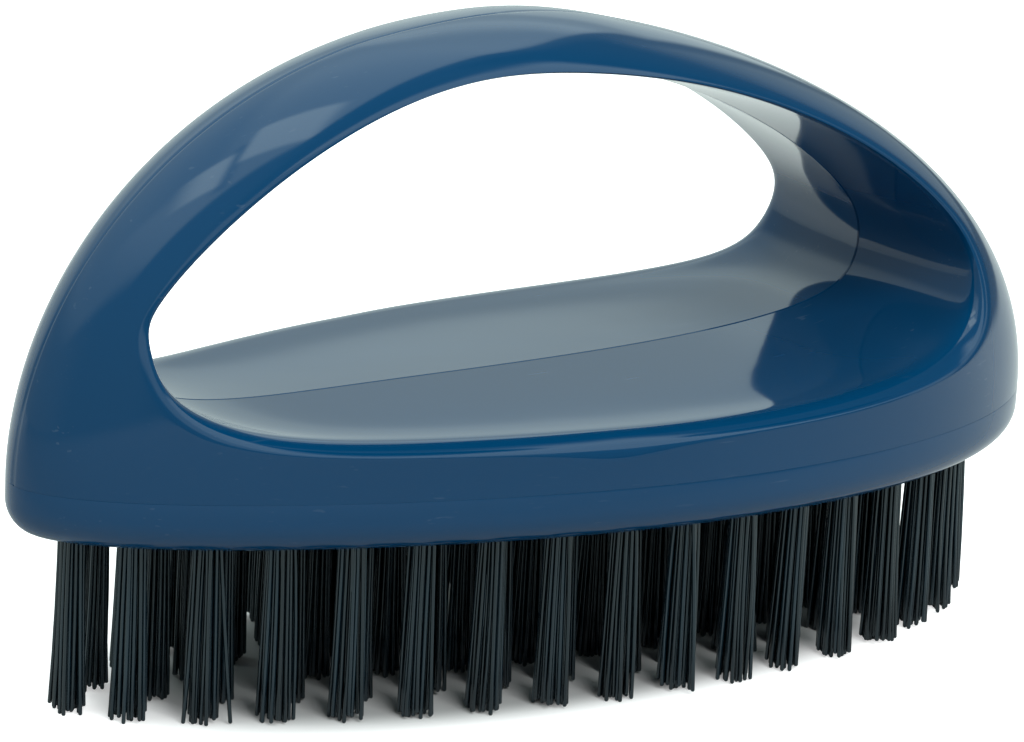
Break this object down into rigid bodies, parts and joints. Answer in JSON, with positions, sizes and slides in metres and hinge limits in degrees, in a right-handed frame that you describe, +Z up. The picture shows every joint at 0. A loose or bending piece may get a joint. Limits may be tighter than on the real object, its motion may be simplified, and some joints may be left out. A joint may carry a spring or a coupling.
{
  "type": "scrub brush",
  "caption": "Scrub brush with an arched loop handle over an oval base, and black bristle tufts set in a plate under it.",
  "frame": {"origin": "centre of the bounding box at the bristle tips, on the surface that the brush stands on", "axes": "+X along the length towards the blunt end, +Y across the width, +Z up"},
  "size_m": [0.13, 0.06, 0.0714],
  "materials": {
    "navy_plastic": "gloss",
    "black_nylon": "satin"
  },
  "bodies": {
    "root": {"handle_body": "navy_plastic", "bristle_block": "navy_plastic", "inner_tuft_field": "black_nylon", "outer_tuft_01": "black_nylon", "outer_tuft_02": "black_nylon", "outer_tuft_03": "black_nylon", "outer_tuft_04": "black_nylon", "outer_tuft_05": "black_nylon", "outer_tuft_06": "black_nylon", "outer_tuft_07": "black_nylon", "outer_tuft_08": "black_nylon", "outer_tuft_09": "black_nylon", "outer_tuft_10": "black_nylon", "outer_tuft_11": "black_nylon", "outer_tuft_12": "black_nylon", "outer_tuft_13": "black_nylon", "outer_tuft_14": "black_nylon", "outer_tuft_15": "black_nylon", "outer_tuft_16": "black_nylon", "outer_tuft_17": "black_nylon", "outer_tuft_18": "black_nylon", "outer_tuft_19": "black_nylon", "outer_tuft_20": "black_nylon", "outer_tuft_21": "black_nylon", "outer_tuft_22": "black_nylon", "outer_tuft_23": "black_nylon", "outer_tuft_24": "black_nylon", "outer_tuft_25": "black_nylon", "outer_tuft_26": "black_nylon", "outer_tuft_27": "black_nylon", "outer_tuft_28": "black_nylon", "outer_tuft_29": "black_nylon", "outer_tuft_30": "black_nylon", "outer_tuft_31": "black_nylon", "outer_tuft_32": "black_nylon", "outer_tuft_33": "black_nylon", "outer_tuft_34": "black_nylon"}
  },
  "joints": []
}
